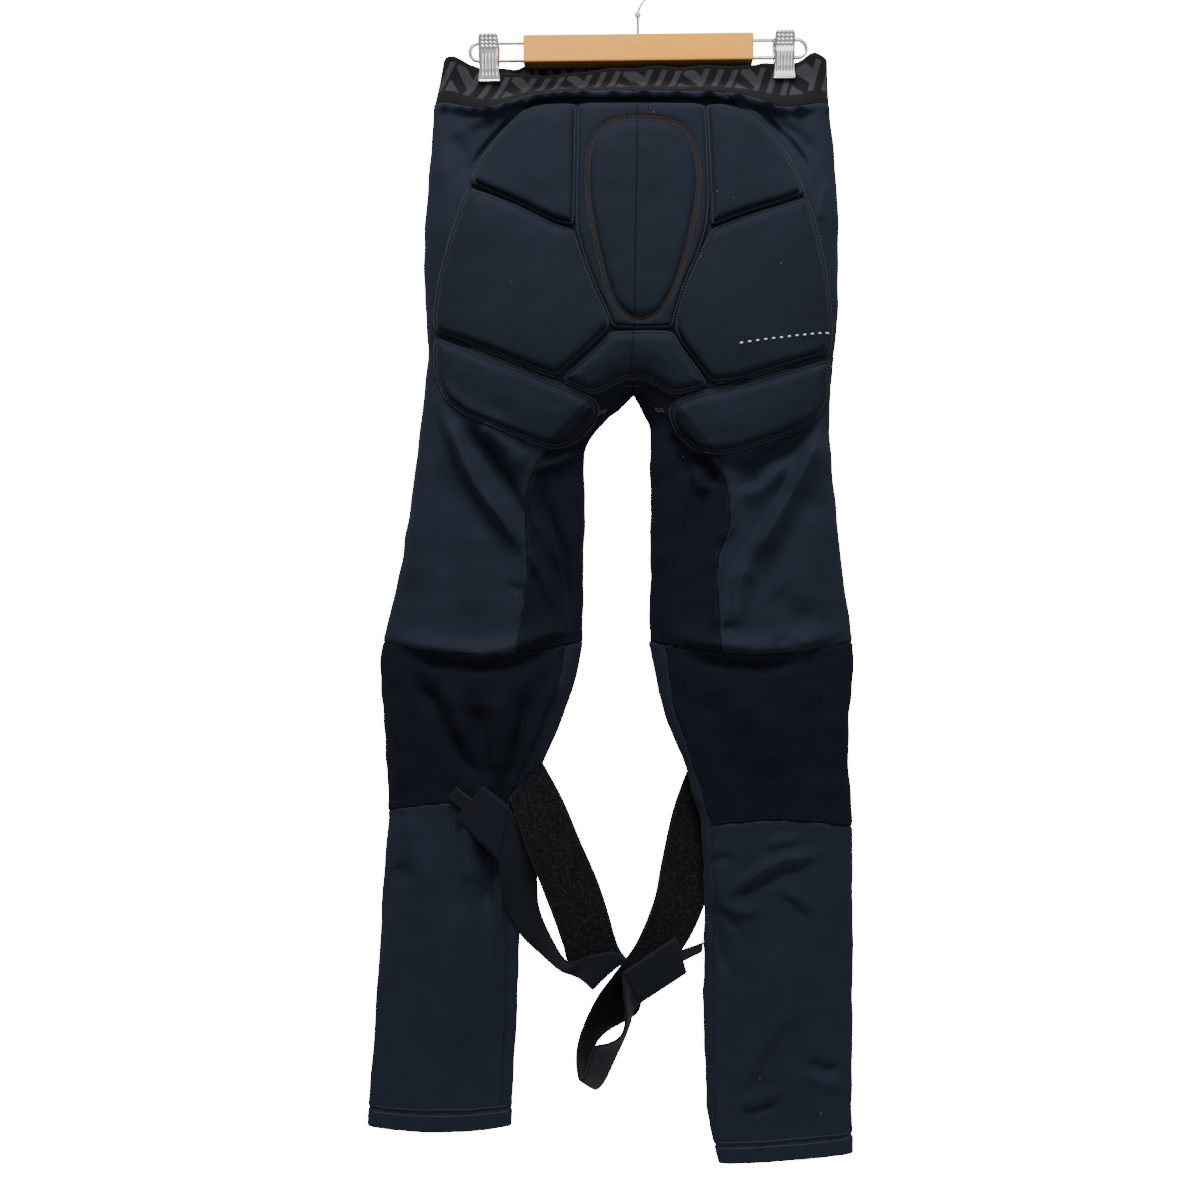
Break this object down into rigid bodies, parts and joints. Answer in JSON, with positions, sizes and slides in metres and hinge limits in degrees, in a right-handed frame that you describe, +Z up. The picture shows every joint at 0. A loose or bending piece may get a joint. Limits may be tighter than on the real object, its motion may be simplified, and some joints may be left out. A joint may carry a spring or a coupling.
{
  "type": "padded protective tights on clip hanger",
  "caption": "Long dark protective tights with sewn foam pads over seat, hips and tailbone, hung flat by the waistband from a wooden hanger with chrome clips.",
  "frame": {"origin": "underside of the hook's crown, where a rail carries the hanger", "axes": "+Z up; the seat side of the tights faces -Y; left is -X as seen from the seat side"},
  "size_m": [0.4254, 0.0708, 1.0635],
  "materials": {
    "stretch_knit": "matt dark blue-black stretch knit",
    "mesh_knit": "black open mesh knit",
    "pad_cloth": "dark blue-black knit stretched over foam",
    "band_knit": "dark charcoal elastic with grey woven blocks",
    "strap_webbing": "black pile on one side, smooth dark knit on the other",
    "wood": "light lacquered wood",
    "chrome": "bright plated steel",
    "steel": "darker drawn wire"
  },
  "bodies": {
    "root": {"calf_panel_left": "stretch_knit", "calf_panel_right": "stretch_knit", "clip_back_jaw_left": "chrome", "clip_back_jaw_right": "chrome", "clip_front_jaw_left": "chrome", "clip_front_jaw_right": "chrome", "clip_pin_left": "chrome", "clip_pin_right": "chrome", "clip_slider_left": "chrome", "clip_slider_right": "chrome", "collar": "chrome", "front_panel_left": "stretch_knit", "front_panel_right": "stretch_knit", "hem_left": "stretch_knit", "hem_right": "stretch_knit", "hip_panel_left": "stretch_knit", "hip_panel_right": "stretch_knit", "hook": "steel", "inner_strip_left": "stretch_knit", "inner_strip_right": "stretch_knit", "inner_thigh_left": "mesh_knit", "inner_thigh_right": "mesh_knit", "knee_panel_left": "mesh_knit", "knee_panel_right": "mesh_knit", "pad_centre": "pad_cloth", "pad_crotch": "pad_cloth", "pad_seat_left": "pad_cloth", "pad_seat_right": "pad_cloth", "pad_tailbone": "pad_cloth", "pad_thigh_left": "pad_cloth", "pad_thigh_right": "pad_cloth", "pad_upper_left": "pad_cloth", "pad_upper_right": "pad_cloth", "pull_tab_left": "strap_webbing", "pull_tab_right": "strap_webbing", "rail_left": "chrome", "rail_right": "chrome", "seat_panel_left": "stretch_knit", "seat_panel_right": "stretch_knit", "stem": "chrome", "strap_end_left": "strap_webbing", "strap_end_right": "strap_webbing", "strap_left": "strap_webbing", "strap_right": "strap_webbing", "waistband": "band_knit", "wood_bar": "wood"}
  },
  "joints": []
}
